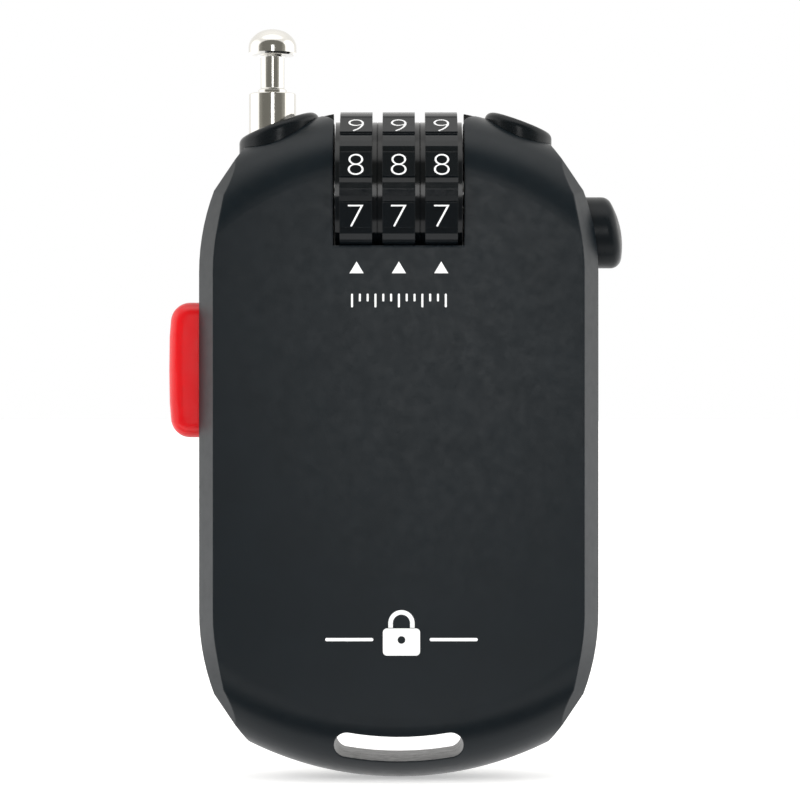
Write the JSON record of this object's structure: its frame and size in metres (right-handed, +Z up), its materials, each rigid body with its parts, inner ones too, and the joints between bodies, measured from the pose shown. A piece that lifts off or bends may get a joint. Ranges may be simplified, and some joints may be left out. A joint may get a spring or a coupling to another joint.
{
  "type": "cable luggage lock",
  "caption": "Pocket cable lock: slim case with number dials on top, a spring-wound steel cable with a locking pin, a release knob, a retract button and a lanyard slot.",
  "frame": {"origin": "lowest point of the case's rounded bottom edge, on the plane where the two shells meet", "axes": "+Z up from the lanyard slot to the dials, +X to the right of somebody who faces the front shell (the release knob's side), front shell towards -Y"},
  "size_m": [0.0508, 0.0186, 0.084],
  "materials": {
    "case_black": "fine satin moulded texture",
    "collar_black": "fine satin moulded texture",
    "dial_black": "smooth, slightly glossy, white numbers",
    "knob_black": "satin rubbery plastic",
    "frame_grey": "plain moulded",
    "reel_white": "natural acetal",
    "button_red": "semi-gloss moulded",
    "pin_chrome": "nickel plated, turned",
    "cable_steel": "stranded steel cable",
    "inner_steel": "plain steel",
    "spring_steel": "drawn wire and strip",
    "screw_steel": "zinc plated",
    "ring_brass": "plain turned brass"
  },
  "bodies": {
    "case": {"front_shell": "case_black", "rear_shell": "case_black", "exit_collar": "collar_black", "socket_collar": "collar_black", "case_screws": "screw_steel", "inner_frame": "frame_grey", "frame_screws": "screw_steel", "dial_detent_spring": "spring_steel", "reel_axle": "inner_steel", "thrust_washer": "inner_steel", "axle_screw": "screw_steel", "pawl_pin": "inner_steel", "pawl_spring": "spring_steel", "release_spring": "spring_steel", "retract_spring": "spring_steel"},
    "dial_left": {"dial_wheel_left": "dial_black", "code_ring_left": "ring_brass"},
    "dial_centre": {"dial_wheel_centre": "dial_black", "code_ring_centre": "ring_brass"},
    "dial_right": {"dial_wheel_right": "dial_black", "code_ring_right": "ring_brass"},
    "release": {"release_button": "knob_black", "latch_slider": "inner_steel", "lock_spindle": "inner_steel"},
    "reel": {"cable_reel": "reel_white", "reel_cover": "reel_white", "reel_cover_screws": "screw_steel", "mainspring": "spring_steel", "cable_coil": "cable_steel", "cable_anchor": "inner_steel"},
    "cable_end": {"cable_pin": "pin_chrome", "cable_run": "cable_steel"},
    "retract": {"retract_button": "button_red"},
    "pawl": {"pawl": "reel_white"}
  },
  "joints": [
    {"name": "turn_dial_left", "type": "hinge", "parent": "case", "child": "dial_left", "pos_m": [-0.00472, 0, 0.0654], "axis": [1, 0, 0], "continuous": true, "deforming": ["dial_detent_spring"]},
    {"name": "turn_dial_centre", "type": "hinge", "parent": "case", "child": "dial_centre", "pos_m": [0, 0, 0.0654], "axis": [1, 0, 0], "continuous": true},
    {"name": "turn_dial_right", "type": "hinge", "parent": "case", "child": "dial_right", "pos_m": [0.00472, 0, 0.0654], "axis": [1, 0, 0], "continuous": true},
    {"name": "press_release", "type": "slide", "parent": "case", "child": "release", "axis": [-1, 0, 0], "range_m": [0, 0.0017], "stiffness_N_per_m": 400, "springref_m": -0.002, "deforming": ["release_spring"]},
    {"name": "press_retract", "type": "slide", "parent": "case", "child": "retract", "axis": [1, 0, 0], "range_m": [0, 0.0016], "stiffness_N_per_m": 300, "springref_m": -0.002, "deforming": ["retract_spring"]},
    {"name": "swing_pawl", "type": "hinge", "parent": "case", "child": "pawl", "pos_m": [-0.0172, 0.00385, 0.0445], "axis": [0, 1, 0], "range_deg": [0, 14], "deforming": ["pawl_spring"]},
    {"name": "pull_cable", "type": "slide", "parent": "case", "child": "cable_end", "axis": [0, 0, 1], "range_m": [0, 0.6], "stiffness_N_per_m": 5, "springref_m": -0.3, "deforming": ["cable_run"]},
    {"name": "turn_reel", "type": "hinge", "parent": "case", "child": "reel", "pos_m": [0.00075, 0, 0.034], "axis": [0, 1, 0], "range_deg": [0, 2305], "deforming": ["mainspring"]}
  ],
  "couplings": [
    {"joint": "turn_reel", "follows": "pull_cable", "rad_per_m": 66.89},
    {"joint": "swing_pawl", "follows": "press_retract", "rad_per_m": 152}
  ]
}
